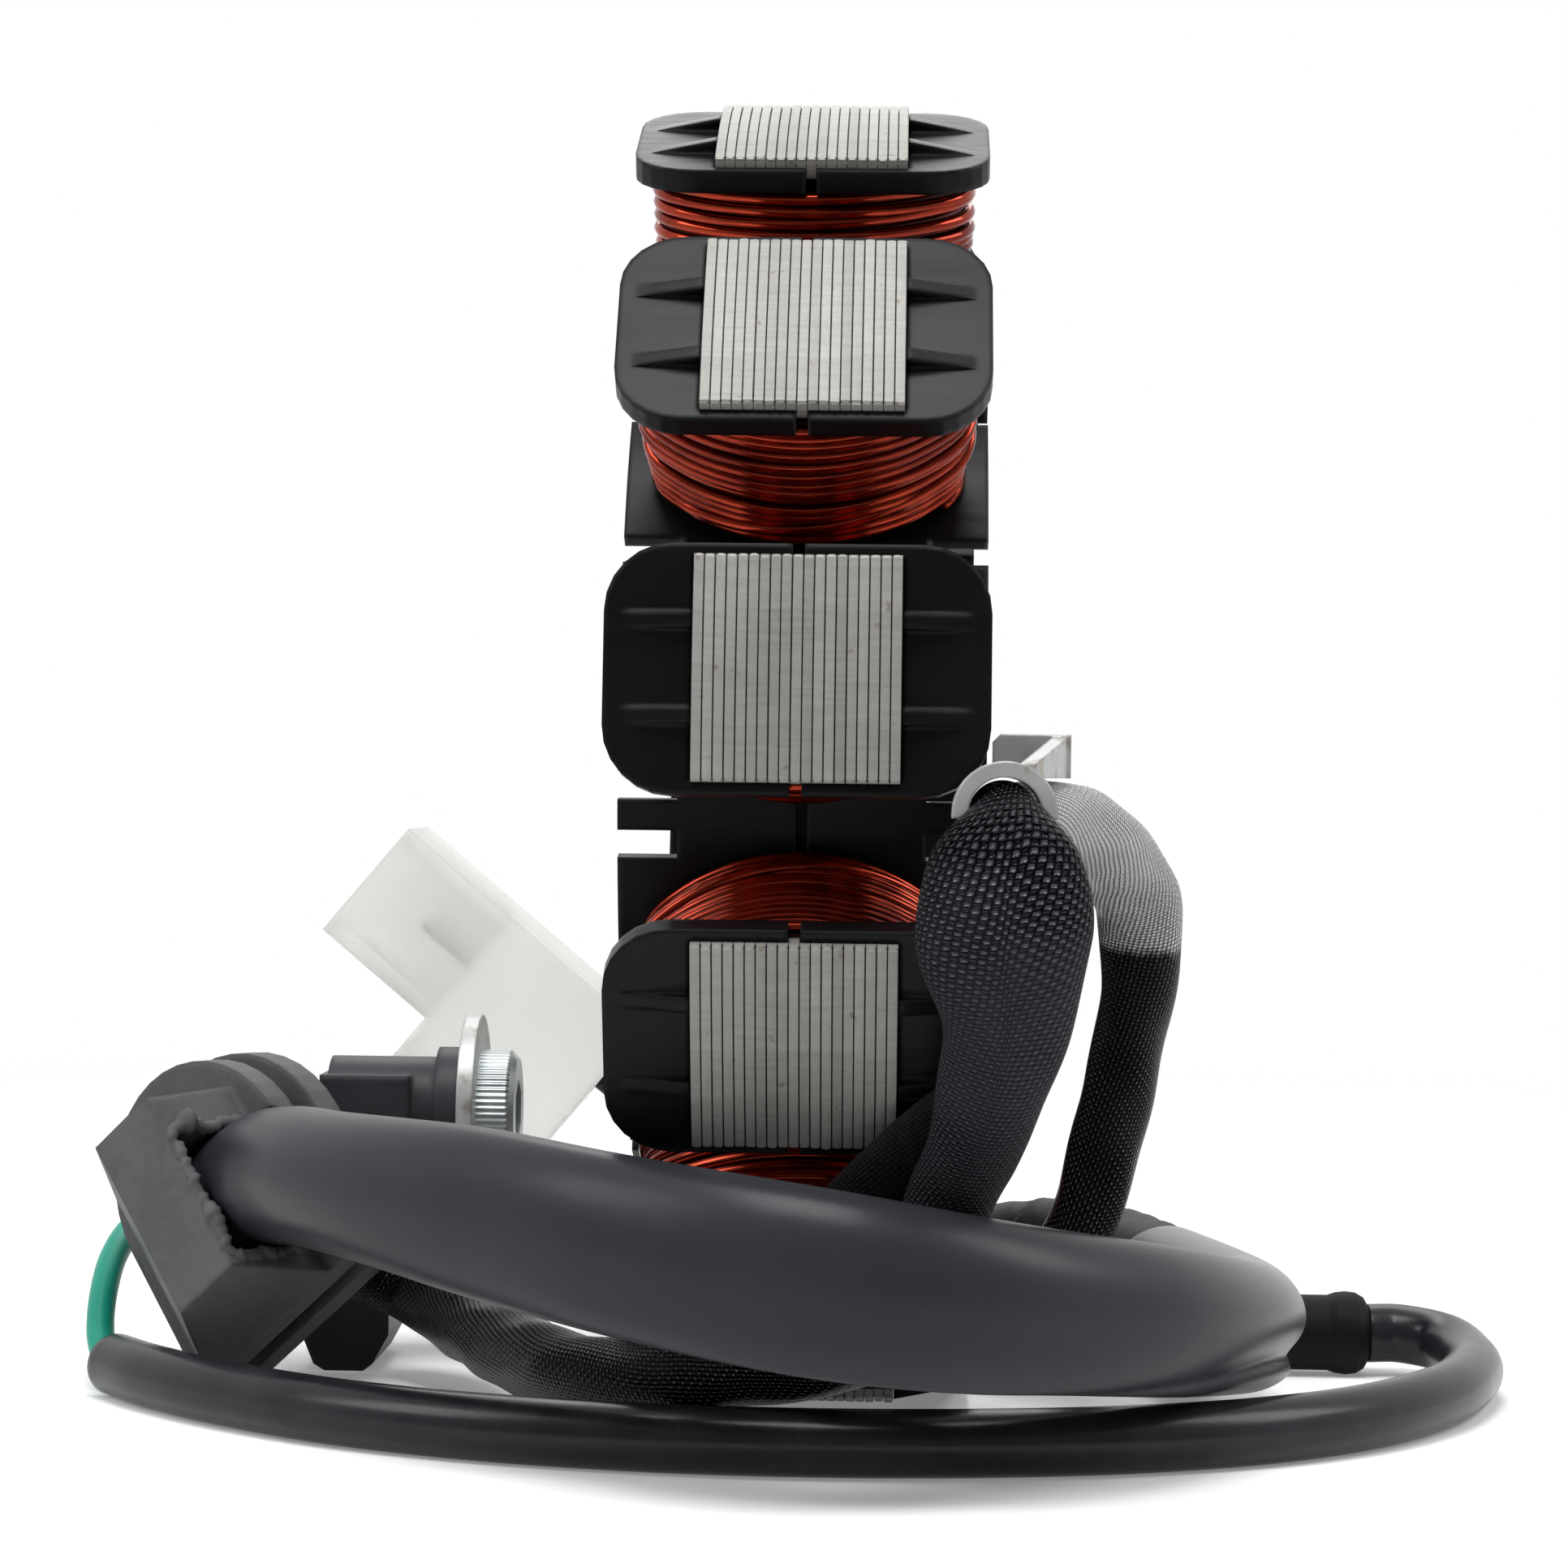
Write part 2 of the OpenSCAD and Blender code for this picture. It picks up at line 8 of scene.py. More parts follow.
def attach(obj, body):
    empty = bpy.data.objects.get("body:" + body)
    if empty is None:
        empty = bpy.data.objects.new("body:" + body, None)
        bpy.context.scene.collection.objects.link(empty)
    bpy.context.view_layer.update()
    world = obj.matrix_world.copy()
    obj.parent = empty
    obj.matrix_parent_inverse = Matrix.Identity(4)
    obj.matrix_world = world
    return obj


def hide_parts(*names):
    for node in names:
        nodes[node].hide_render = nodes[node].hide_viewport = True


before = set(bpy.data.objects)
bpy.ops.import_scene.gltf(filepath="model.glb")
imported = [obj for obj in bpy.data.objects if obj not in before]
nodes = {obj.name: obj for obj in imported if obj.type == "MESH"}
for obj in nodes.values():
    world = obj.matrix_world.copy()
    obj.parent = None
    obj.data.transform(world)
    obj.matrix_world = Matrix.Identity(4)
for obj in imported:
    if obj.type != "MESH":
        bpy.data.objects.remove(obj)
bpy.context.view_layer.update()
scene = bpy.context.scene
MM = 0.001

# Camera: level, a third of a metre in front of the ring and a little to its right,
# with the long lens of a product photograph. Its place is in millimetres from the bore centre.
camera_place = Vector((7.571, -334.426, -2.615)) * MM
camera_look = Vector((-0.02992, 0.99955, -0.00037)).normalized()
camera_right = camera_look.cross(Vector((-0.01231, 0.0, 0.99992))).normalized()
camera_up = camera_right.cross(camera_look)
photo_pixels = 1932
focal_pixels = 4784.68
camera_data = bpy.data.cameras.new("camera")
camera_data.sensor_width = 36.0
camera_data.lens = focal_pixels / photo_pixels * camera_data.sensor_width
camera_data.clip_start = 0.01
camera = bpy.data.objects.new("camera", camera_data)
camera_turn = Matrix((camera_right, camera_up, -camera_look)).transposed().to_4x4()
camera.matrix_world = Matrix.Translation(camera_place) @ camera_turn
scene.collection.objects.link(camera)
scene.camera = camera


# Woven sleeve: a varnished black braid over the winding leads. It leaves the ring low on the right,
# climbs behind, folds flat through the clip and comes down in front to the back of the grommet.
# Behind the clip the varnish is worn off and the silver-grey yarn shows.
woven_route = [
    (15.6, 0.5, -46), (19, -3, -44.6), (22.6, -6.5, -41), (24.6, -9, -34.5), (26.2, -12, -26.5),
    (27.3, -16, -18.5), (26.8, -21, -12), (24, -31, -7.8), (19.6, -43, -5.2), (15.1, -54, -4.6),
    (15, -59.5, -4.6), (15, -62.4, -7.4), (15, -61.6, -13), (15.3, -59, -19.5), (14.3, -55.5, -25),
    (13, -51.8, -29.6), (11.4, -48.6, -33.8), (10, -46.8, -39), (7.5, -44.6, -43.6), (3, -42.4, -46),
    (-4, -39.8, -47.2), (-11, -36, -48.4), (-18, -29.5, -49), (-23.5, -19, -49), (-27.5, -9, -48.8),
    (-30.5, -1.5, -48.3), (-34, 2.6, -47), (-37.5, 2.4, -45.4), (-40.2, 0.7, -43.7)]
woven_half = [
    (2.8, 2.8), (2.9, 2.9), (3, 2.8), (3, 2.6), (3, 2.4), (3.2, 2), (3.4, 1.8), (3.4, 2), (3, 2.2),
    (2.2, 2.1), (2.3, 2.1), (5.3, 2.1), (6.3, 2.1), (4.6, 2.1), (4, 2.1), (3.5, 2), (3.2, 2),
    (3.2, 2), (3.3, 2.1), (3.4, 2.2), (3.4, 2.5), (3.2, 2.8), (3.2, 3), (3.2, 3.2), (3.2, 3.2),
    (3.2, 3.2), (3.2, 3.2), (3.2, 3.2), (3.2, 3.2)]
yarn_step = 0.36
yarns_round = 50
yarn_slant = 0.01
bare_from, bare_to = 40.5, 79.0
matte_from, matte_to = 100.0, 132.0
pressed_from, pressed_points = 10.4, 5.6
woven_per_point = 30


def smooth(points, per_span):
    """A Catmull-Rom curve through the points: each span is a cubic whose slope at a point is half
    the step between that point's two neighbours. Gives per_span samples a span, ends included."""
    p = np.asarray(points, float)
    ends = np.vstack([2 * p[0] - p[1], p, 2 * p[-1] - p[-2]])
    u = np.linspace(0, len(p) - 1, (len(p) - 1) * per_span + 1)
    i = np.minimum(u.astype(int), len(p) - 2)
    t = (u - i)[:, None]
    a, b, c, d = ends[i], ends[i + 1], ends[i + 2], ends[i + 3]
    return 0.5 * (2 * b + (c - a) * t + (2 * a - 5 * b + 4 * c - d) * t**2 + (3 * b - a - 3 * c + d) * t**3)


def tube(path, half, facing, around, relief=None, squareness=2.0):
    """Carries a closed section along a path. At each path point the section is a superellipse
    |a/w|^n + |b/t|^n = 1 square to the path, its flat side towards `facing`. relief(along, turn) lifts
    the surface, by millimetres along the path and the angle round it. Gives a grid of points, and UV:
    millimetres along, share of a turn round."""
    heading = np.gradient(path, axis=0)
    heading /= np.linalg.norm(heading, axis=1)[:, None]
    wide = np.cross(heading, facing)
    wide /= np.linalg.norm(wide, axis=1)[:, None]
    thick = np.cross(wide, heading)
    step = np.linalg.norm(np.diff(path, axis=0), axis=1)
    along = np.concatenate([[0], np.cumsum(step)])[:, None]
    turn = np.linspace(0, 2 * np.pi, around + 1)[None, :]
    a = np.sign(np.cos(turn)) * np.abs(np.cos(turn)) ** (2.0 / squareness)
    b = np.sign(np.sin(turn)) * np.abs(np.sin(turn)) ** (2.0 / squareness)
    lift = 0.0 if relief is None else relief(along, turn)
    across, out = a * half[:, :1] + lift * np.cos(turn), b * half[:, 1:] + lift * np.sin(turn)
    grid = path[:, None, :] + across[..., None] * wide[:, None, :] + out[..., None] * thick[:, None, :]
    return grid, np.stack(np.broadcast_arrays(along, turn / (2 * np.pi)), axis=-1)


def piece(name, grids, uv=None, closed=True):
    """Puts one grid of points, or a stack of like grids, into a mesh (millimetres to metres). Neighbours
    share faces both ways. A closed grid joins its last column to its first and has a fan at each end."""
    grids = np.asarray(grids)[None] if np.ndim(grids) == 3 else np.asarray(grids)
    count, rows, cols = grids.shape[:3]
    ring = cols - 1 if closed else cols
    each = rows * ring + (2 if closed else 0)
    points = grids[:, :, :ring].reshape(count, -1, 3)
    i, j = np.meshgrid(np.arange(rows - 1), np.arange(cols - 1), indexing="ij")
    k = (j + 1) % ring
    quads = np.stack([i * ring + j, i * ring + k, (i + 1) * ring + k, (i + 1) * ring + j], -1).reshape(-1, 4)
    shift = (np.arange(count) * each)[:, None, None]
    faces = (quads[None] + shift).reshape(-1, 4).tolist()
    if closed:
        points = np.concatenate([points, grids[:, :1, :ring].mean(2), grids[:, -1:, :ring].mean(2)], axis=1)
        n, m = np.arange(ring), (np.arange(ring) + 1) % ring
        base = (rows - 1) * ring
        fans = np.vstack([np.stack([np.full(ring, rows * ring), m, n], -1),
                          np.stack([np.full(ring, rows * ring + 1), base + n, base + m], -1)])
        faces += (fans[None] + shift).reshape(-1, 3).tolist()
    mesh = bpy.data.meshes.new(name)
    mesh.from_pydata(points.reshape(-1, 3) * MM, [], faces)
    if uv is not None:
        corners = np.stack([uv[i, j], uv[i, j + 1], uv[i + 1, j + 1], uv[i + 1, j]], 2).reshape(-1, 2)
        laid = np.zeros((len(mesh.loops), 2))
        laid[: count * len(corners)] = np.tile(corners, (count, 1))
        mesh.uv_layers.new(name="lay").data.foreach_set("uv", laid.ravel())
    mesh.shade_smooth()
    obj = bpy.data.objects.new(name, mesh)
    scene.collection.objects.link(obj)
    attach(obj, "root")
    return obj


class Paint:
    """A shader socket that takes part in arithmetic: each operator adds one Math node to its tree."""

    def __init__(self, tree, socket=None):
        self.tree, self.socket = tree, socket

    def add(self, kind, settings=None, out=0, **links):
        """Adds a node of that kind. Settings are set first. A link's name is its socket's, with _ for a
        space, or i0, i1... for its number; its value is a number, a colour or another Paint."""
        node = self.tree.nodes.new("ShaderNode" + kind)
        for name, value in (settings or {}).items():
            setattr(node, name, value)
        for name, value in links.items():
            numbered = name[0] == "i" and name[1:].isdigit()
            socket = node.inputs[int(name[1:]) if numbered else name.replace("_", " ")]
            if isinstance(value, Paint):
                self.tree.links.new(value.socket, socket)
            else:
                socket.default_value = value
        return Paint(self.tree, node.outputs[out])

    def math(self, operation, a, b=0.0):
        """One Math node: the named operation on a and b."""
        return self.add("Math", {"operation": operation}, i0=a, i1=b)

    def __add__(self, other): return self.math("ADD", self, other)
    def __radd__(self, other): return self.math("ADD", other, self)
    def __sub__(self, other): return self.math("SUBTRACT", self, other)
    def __rsub__(self, other): return self.math("SUBTRACT", other, self)
    def __mul__(self, other): return self.math("MULTIPLY", self, other)
    def __rmul__(self, other): return self.math("MULTIPLY", other, self)
    def __truediv__(self, other): return self.math("DIVIDE", self, other)
    def __pow__(self, other): return self.math("POWER", self, other)

    def wave(self):
        """The cosine of this value, an angle."""
        return self.math("COSINE", self)

    def clamp(self):
        """This value, held between 0 and 1."""
        return self.add("Clamp", None, 0, Value=self)

    def step(self, low, high):
        """0 below low, 1 above high, smooth between."""
        return self.add("MapRange", {"interpolation_type": "SMOOTHSTEP"}, 0,
                        Value=self, From_Min=low, From_Max=high)

    def mix(self, a, b):
        """Colour a where this value is 0 and b where it is 1."""
        a, b = [(*v, 1.0) if isinstance(v, tuple) else v for v in (a, b)]
        return self.add("Mix", {"data_type": "RGBA"}, 2, i0=self, i6=a, i7=b)

    def noise(self, scale, detail=3.0):
        """Noise over these coordinates."""
        return self.add("TexNoise", None, 0, Vector=self, Scale=scale, Detail=detail)

    def drawn(self, x, y, z):
        """These coordinates multiplied by x, y and z: a small factor draws a pattern out that way."""
        return self.add("VectorMath", {"operation": "MULTIPLY"}, 0, i0=self, i1=(x, y, z))

    def part(self, axis):
        """One of the three numbers of these coordinates."""
        return self.add("SeparateXYZ", None, axis, Vector=self)

    def bump(self, depth, under=None):
        """A normal from this height, `depth` metres deep, over the normal `under` if one is given."""
        links = {"Height": self, "Distance": depth}
        if under is not None:
            links["Normal"] = under
        return self.add("Bump", None, 0, **links)


def look(name, **fixed):
    """A material of one Principled shader, with constants on its own sockets. Gives the material, the
    object coordinates, the piece's own UV and a function that links or sets more of its sockets."""
    material = bpy.data.materials.new(name)
    material.use_nodes = True
    tree = material.node_tree
    shader = tree.nodes["Principled BSDF"]

    def dress(**sockets):
        """Links a Paint to each named socket, or sets its number or colour."""
        for key, value in sockets.items():
            socket = shader.inputs[key.replace("_", " ")]
            if isinstance(value, Paint):
                tree.links.new(value.socket, socket)
            else:
                socket.default_value = (*value, 1.0) if isinstance(value, tuple) else value

    dress(**fixed)
    start = Paint(tree)
    return material, start.add("TexCoord", None, "Object"), start.add("UVMap", {"uv_map": "lay"}), dress


def wear(obj, material):
    """Gives a piece its material."""
    obj.data.materials.clear()
    obj.data.materials.append(material)


def woven_relief(along, turn):
    """Slow dents: two long waves that run slantwise round the sleeve."""
    return 0.1 * np.sin(along / 3.1 + 2 * turn) + 0.08 * np.sin(along / 1.7 - 3 * turn)


def weave_paint(place, lay):
    """Plain weave from the product of two cosines, one along and one round, which winds on slowly along
    the sleeve: where it is positive a yarn lies on top as a dome, where it is negative a lower one passes
    under, and the zero lines are the gaps."""
    along = lay.part(0) + place.noise(110.0) * 1.4
    across = lay.part(1) + lay.part(0) * yarn_slant + place.noise(130.0) * 0.03
    woven = (along * (math.pi / yarn_step)).wave() * (across * (math.pi * yarns_round)).wave()
    top = woven.math("MAXIMUM", woven, 0.0) ** 0.7
    low = woven.math("MAXIMUM", 0.0 - woven, 0.0) ** 0.7
    return top + low * 0.4


woven_path = smooth(woven_route, woven_per_point)
woven_size = smooth(woven_half, woven_per_point)
woven_facing = woven_path * np.array([0.0, 1.0, 1.0])
route_point = np.arange(len(woven_path)) / woven_per_point
pressed = np.sin(np.pi * np.clip((route_point - pressed_from) / pressed_points, 0, 1))[:, None]
woven_grid, woven_lay = tube(woven_path, woven_size, woven_facing, 72, woven_relief, 2.0 - 0.55 * pressed)
woven_sleeve = piece("woven_sleeve", woven_grid, woven_lay)
varnish, place, lay, dress = look("varnished_weave", Specular_IOR_Level=0.2)
yarn = weave_paint(place, lay)
worn = lay.part(0) + (place.noise(300.0) - 0.5) * 5.0
bare = worn.step(bare_from - 1, bare_from + 1) * (1 - worn.step(bare_to - 1, bare_to + 1))
ragged = worn + place.noise(120.0) * 16.0
thick = 1 - ragged.step(matte_from, matte_from + 12.0) * (1 - ragged.step(matte_to, matte_to + 8.0))
gloss = (place.noise(70.0, 2.0).step(0.4, 0.6) * 0.4 + thick * 0.7).clamp()
# Painted shade: gaps between the yarns, and the lower yarns where they pass under, are painted darker than
# the yarn tops; the grey yarn's gaps are painted dark the same way.
yarn_top_vs_gap_shade = yarn.step(0.1, 0.85)
black_yarn = yarn_top_vs_gap_shade.mix(gloss.mix((0.02, 0.02, 0.025), (0.002, 0.002, 0.003)),
                       gloss.mix((0.064, 0.065, 0.077), (0.062, 0.063, 0.073)))
grey_yarn = yarn.step(0.05, 0.36).mix((0.07, 0.07, 0.074), (0.9, 0.91, 0.93))
dress(Base_Color=bare.mix(black_yarn, grey_yarn), Metallic=(1 - bare) * (0.4 + 0.6 * gloss),
      Roughness=0.55 - 0.3 * gloss, Normal=yarn.bump(0.0004))
wear(woven_sleeve, varnish)
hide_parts("cloth_sleeve")

# Sleeve fold: where the woven sleeve turns under, its doubled edge shows beside the front strand.
# It is the same braid pressed flat, dull because the varnish has gone into the yarn there.
fold_route = [
    (12.6, -49.4, -26.2), (10.4, -48.9, -28.8), (7.6, -48.2, -31.8), (4.4, -46.8, -35.4), (2, -45.4, -39)]
fold_half = [(2.6, 0.7), (3.2, 0.8), (3.6, 0.9), (3.6, 1), (3.2, 1)]
fold_path, fold_size = smooth(fold_route, 14), smooth(fold_half, 14)
fold_grid, fold_lay = tube(fold_path, fold_size, fold_path * np.array([0.0, 1.0, 1.0]), 40, woven_relief)
woven_fold = piece("woven_fold", fold_grid, fold_lay)
dull, place, lay, dress = look("dull_weave", Specular_IOR_Level=0.1)
yarn = weave_paint(place, lay)
# Random fibre tone, mixed with the weave whose gaps are painted darker: painted shade between the yarns.
fibre_and_gap_shade = (yarn * 0.5 + place.noise(900.0) * 0.5).clamp()
dress(Base_Color=fibre_and_gap_shade.mix((0.002, 0.002, 0.002), (0.022, 0.022, 0.025)), Roughness=0.65 + 0.2 * yarn,
      Normal=yarn.bump(0.0002))
wear(woven_fold, dull)


def lay_cord(path, exit_at):
    """Turns a cord's path and its exit point into metres, and keeps neither."""
    tuple(exit_at * MM)
    (path * MM).tolist()


lay_cord(woven_path, woven_path[0])


# Main sleeve: soft dark vinyl tube with the wires inside. It comes out of the grommet's hood,
# lies flattened across the front and turns back on the right, where the bend creases it.
vinyl_route = [
    (-49.1, -9, -40.1), (-45.2, -11.6, -36.5), (-41.8, -17, -35.3), (-37.3, -24.5, -35.1), (-31, -33, -35.2),
    (-23, -41.5, -35.7), (-12.5, -50.2, -36.7), (1, -55.5, -38.3), (13.5, -53, -40.3), (25.5, -42.5, -42.6),
    (33, -29, -44.8), (36.2, -14, -46.6), (35, -1, -47.2), (31.5, 9.5, -46.8)]
vinyl_half = [
    (5.6, 5.6), (5.6, 5.6), (5.6, 5.6), (5.7, 5.5), (6, 5.1), (6.5, 4.6), (6.8, 4.3), (6.8, 4.3),
    (6.4, 4.4), (5.8, 5), (5.5, 5.3), (5.5, 5.5), (5.5, 5.5), (5.5, 5.5)]
crease_start, crease_end = 86.0, 126.0


def level(path):
    """The level direction square to the path, so that a section's flat sides stand upright."""
    return np.cross(np.gradient(path, axis=0), (0.0, 0.0, 1.0))


def vinyl_relief(along, turn):
    """Long shallow swells, and a crease that starts under the sleeve where it begins to bend and climbs
    to the outside of the bend. It falls in slowly from above and ends sharply on the lip below."""
    swell = 0.1 * np.sin(along / 11.0 + 1.3 * np.cos(turn)) + 0.06 * np.sin(along / 5.3 + 2 * turn)
    share = np.clip((along - crease_start) / (crease_end - crease_start), 0, 1)
    rise = share * share * (3 - 2 * share)
    away = np.angle(np.exp(1j * (turn - 0.1 - 0.9 * rise)))
    groove = -1.2 * np.exp(-((away / np.where(away > 0, 0.5, 0.12)) ** 2))
    return swell + rise * groove


vinyl_path, vinyl_size = smooth(vinyl_route, 24), smooth(vinyl_half, 24)
vinyl_grid, vinyl_lay = tube(vinyl_path, vinyl_size, level(vinyl_path), 96, vinyl_relief)
main_sleeve = piece("vinyl_sleeve", vinyl_grid, vinyl_lay)
vinyl, place, lay, dress = look("dark_vinyl", Specular_IOR_Level=0.17)
bloom = lay.drawn(0.03, 3.0, 1.0).noise(2.0)
# Painted highlight: the upper side of the sleeve along its right-hand bend is painted pale grey, standing in
# for a lamp's reflection there.
upper = (((lay.part(1) - 0.46) * (2 * math.pi)).wave() * 0.5 + 0.5) ** 3.0
painted_highlight = lay.part(0).step(96.0, 136.0) * upper
handled = place.noise(45.0)
skin = (0.6 * bloom + 0.4 * handled).mix((0.016, 0.017, 0.022), (0.036, 0.037, 0.044))
dress(Base_Color=(painted_highlight * 0.7).mix(skin, (0.34, 0.34, 0.34)), Roughness=0.26 + 0.14 * bloom,
      Normal=place.noise(2600.0, 2.0).bump(0.00001))
wear(main_sleeve, vinyl)
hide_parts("main_sleeve")

# Tape: black wrap wound over the main sleeve's rear end, where the wires part for the connector.
# It is wrinkled, and the edge of each turn shows.
tape_route = [(31.5, 9.5, -46.8), (28, 20, -46.4), (22, 31.5, -46.8), (13, 41, -49), (5, 45, -49)]
tape_radius = 5.3
tape_lap = 7.0


def tape_relief(along, turn):
    """Each lap climbs by a quarter of a millimetre and drops at its edge, which winds round slantwise;
    small wrinkles run across it."""
    lap = (along / tape_lap + turn / (2 * np.pi)) % 1.0
    return 0.25 * lap - 0.12 + 0.05 * np.sin(9 * turn + along * 1.7)


def round_size(path, radius):
    """Half width and half thickness of a round section, the same all along a path."""
    return np.full((len(path), 2), radius)


tape_path = smooth(tape_route, 40)
tape_grid, tape_lay = tube(tape_path, round_size(tape_path, tape_radius), level(tape_path), 56, tape_relief)
tape = piece("sleeve_wrap", tape_grid, tape_lay)
wrap, place, lay, dress = look("black_tape", Specular_IOR_Level=0.16)
scuff = place.noise(350.0, 4.0)
dress(Base_Color=scuff.mix((0.004, 0.004, 0.005), (0.015, 0.015, 0.016)), Roughness=0.36 + 0.25 * scuff,
      Normal=scuff.bump(0.00006))
wear(tape, wrap)
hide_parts("sleeve_tape")
lay_cord(vinyl_path, vinyl_path[0])


# Connector wires: three black vinyl-covered leads that leave the tape side by side.
# They turn upwards into the back of the connector and hold it up.
feed_route = np.array([
    (5, 45, -49), (-3, 49, -49), (-11.5, 50, -41.6), (-17.9, 50, -34.7), (-21.3, 50, -31.8)])
feed_side = np.array([(1.25, 2.5, 0), (1.25, 2.5, 0), (0.6, 2.7, 0), (0, 2.8, 0), (0, 2.8, 0)])
feed_radius = 1.3
wire_black, place, lay, dress = look("wire_black", Specular_IOR_Level=0.2)
dress(Base_Color=place.noise(400.0).mix((0.006, 0.006, 0.007), (0.018, 0.018, 0.02)),
      Roughness=0.3 + 0.12 * place.noise(900.0))


def one_way(path, direction):
    """The same direction at every point of a path."""
    return np.broadcast_to(direction, path.shape)


for side in (-1, 0, 1):
    feed_path = smooth(feed_route + side * feed_side, 14)
    feed_grid, feed_lay = tube(feed_path, round_size(feed_path, feed_radius),
                               one_way(feed_path, (0.0, 1.0, 0.0)), 16)
    wire = piece(f"connector_wire_{side + 2}", feed_grid, feed_lay)
    wear(wire, wire_black)
    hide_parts("connector_wires")
    lay_cord(feed_path, feed_path[0])

# Thin tube: soft black vinyl sleeving that lies on the floor in a wide bow round the front,
# cut open at its left end and pushed into the terminal boot at its right end.
thin_floor = -52.4
thin_route = [
    (-58, -8.5, thin_floor), (-53, -15.5, thin_floor), (-46, -23, thin_floor), (-36, -31, thin_floor),
    (-24, -37, thin_floor), (-11, -40.5, thin_floor), (1.5, -41.5, thin_floor), (14, -40.5, thin_floor),
    (26, -37.5, thin_floor), (37, -32, thin_floor), (46, -24, thin_floor), (53, -13, thin_floor),
    (57, -1, thin_floor), (57.6, 7, -52.2), (56.5, 12.5, -51.7), (53, 15, -51.3), (50, 15, -51.3)]
thin_radius = 2.6
bore_share = 0.72
bore_depth = 3.0


def open_start(grid, lay):
    """Hollows the first end of a tube: its first ring is drawn in to the wall's inside, and a second
    copy of that ring lies bore_depth further in along the tube."""
    middle = grid[0].mean(0)
    inner = middle + bore_share * (grid[0] - middle)
    inward = grid[1].mean(0) - middle
    deep = inner + bore_depth * inward / np.linalg.norm(inward)
    return np.concatenate([deep[None], inner[None], grid]), np.concatenate([lay[:1], lay[:1], lay])


thin_path = smooth(thin_route, 16)
thin_grid, thin_lay = tube(thin_path, round_size(thin_path, thin_radius), level(thin_path), 36)
thin_tube = piece("thin_tube_sleeve", *open_start(thin_grid, thin_lay))
thin_vinyl, place, lay, dress = look("thin_vinyl", Specular_IOR_Level=0.22)
dust = place.noise(240.0, 4.0)
dress(Base_Color=dust.mix((0.008, 0.008, 0.011), (0.026, 0.026, 0.031)), Roughness=0.16 + 0.16 * dust,
      Normal=place.noise(1800.0).bump(0.00001))
wear(thin_tube, thin_vinyl)
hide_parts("thin_tube")
lay_cord(thin_path, thin_path[0])

# Green wire: one lead in green vinyl that leaves the open end of the thin tube.
# It rises in a bow and goes into the back of the grommet.
green_route = [
    (-58, -8.5, thin_floor), (-59, -7.1, thin_floor), (-60.2, -4.3, -50.3), (-60.7, -0.6, -47.3),
    (-60.7, 4, -44.6), (-59.8, 9, -42.6), (-57.3, 13, -41.3), (-53.5, 14.8, -40.4), (-49.2, 12.3, -40),
    (-49.3, 7.1, -39.9), (-50.4, 5.5, -39.9)]
green_radius = 1.2
green_path = smooth(green_route, 12)
green_grid, green_lay = tube(green_path, round_size(green_path, green_radius),
                             one_way(green_path, (1.0, 0.0, 0.0)), 20)
green_wire = piece("green_lead", green_grid, green_lay)
green, place, lay, dress = look("green_insulation", Specular_IOR_Level=0.35)
dress(Base_Color=place.noise(300.0).mix((0.0, 0.25, 0.17), (0.005, 0.34, 0.24)),
      Roughness=0.35 + 0.1 * place.noise(700.0))
wear(green_wire, green)
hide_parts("green_wire")
lay_cord(green_path, green_path[-1])


# Coils: enamelled copper wire wound turn on turn round each pole, not quite evenly.
# Each is an outer layer of loose-lying turns over a tighter one, with a lead that crosses over them.
wire_radius = 0.5
coil_inner, coil_outer = 36.2, 51.7
coil_length, coil_width, end_radius = 26.2, 17.0, 5.5
coil_taper = 0.9
end_centre = coil_length / 2 - end_radius
side_gain = coil_width / 2 - end_radius
side_drop = (end_centre**2 - side_gain**2) / (2 * side_gain)
side_radius = coil_width / 2 + side_drop
side_turn = math.atan2(end_centre, side_drop)
outer_turns, inner_turns = 14, 15
poles = 12
first_pole, pole_step = math.radians(84.0), math.radians(30.0)


def oval(s, offset):
    """Point on an oval of four tangent arcs, for s from 0 to 1 once round: two tight end arcs and
    two wide side arcs, all moved outwards by `offset`. s is shared out by the arcs' lengths."""
    end_share = end_radius * (math.pi - 2 * side_turn)
    side_share = side_radius * 2 * side_turn
    q = (s % 1.0) * 2
    half = np.floor(q)
    t = (q - half) * (end_share + side_share)
    on_end = t < end_share
    a_end = (t / end_share - 0.5) * (math.pi - 2 * side_turn)
    a_side = math.pi / 2 + ((t - end_share) / side_share - 0.5) * 2 * side_turn
    r_end, r_side = end_radius + offset, side_radius + offset
    x = np.where(on_end, end_centre + r_end * np.cos(a_end), r_side * np.cos(a_side))
    y = np.where(on_end, r_end * np.sin(a_end), r_side * np.sin(a_side) - side_drop)
    return x * (1 - 2 * half), y * (1 - 2 * half)


def winding(turns, seed, depth, stray):
    """Wire path of one layer in the pole's own frame (axial, round the ring, outwards): s turns round the
    oval, climbing outwards one pitch a turn, with random waves from turn to turn in height and depth."""
    draw = np.random.default_rng(seed)
    s = np.linspace(0.0, turns, turns * 56 + 1)
    size = draw.normal(0, stray, (3, turns + 2))
    phase = draw.uniform(0, 2 * np.pi, turns + 2)
    k = np.minimum(s.astype(int), turns)
    blend = (s - k) ** 2 * (3 - 2 * (s - k))
    drift = (1 - blend) * size[:, k] + blend * size[:, k + 1]
    height = coil_inner + wire_radius + (coil_outer - coil_inner - 2 * wire_radius) * s / turns
    height = height + 0.5 * drift[0] * np.sin(2 * np.pi * s + phase[0]) + 0.3 * drift[1]
    height = np.clip(height, coil_inner + wire_radius, coil_outer - wire_radius)
    share = (height - coil_inner) / (coil_outer - coil_inner)
    offset = -coil_taper * (1 - share) ** 1.5 - wire_radius - depth + 0.4 * np.abs(drift[2])
    return np.stack([*oval(s, offset), height], -1)


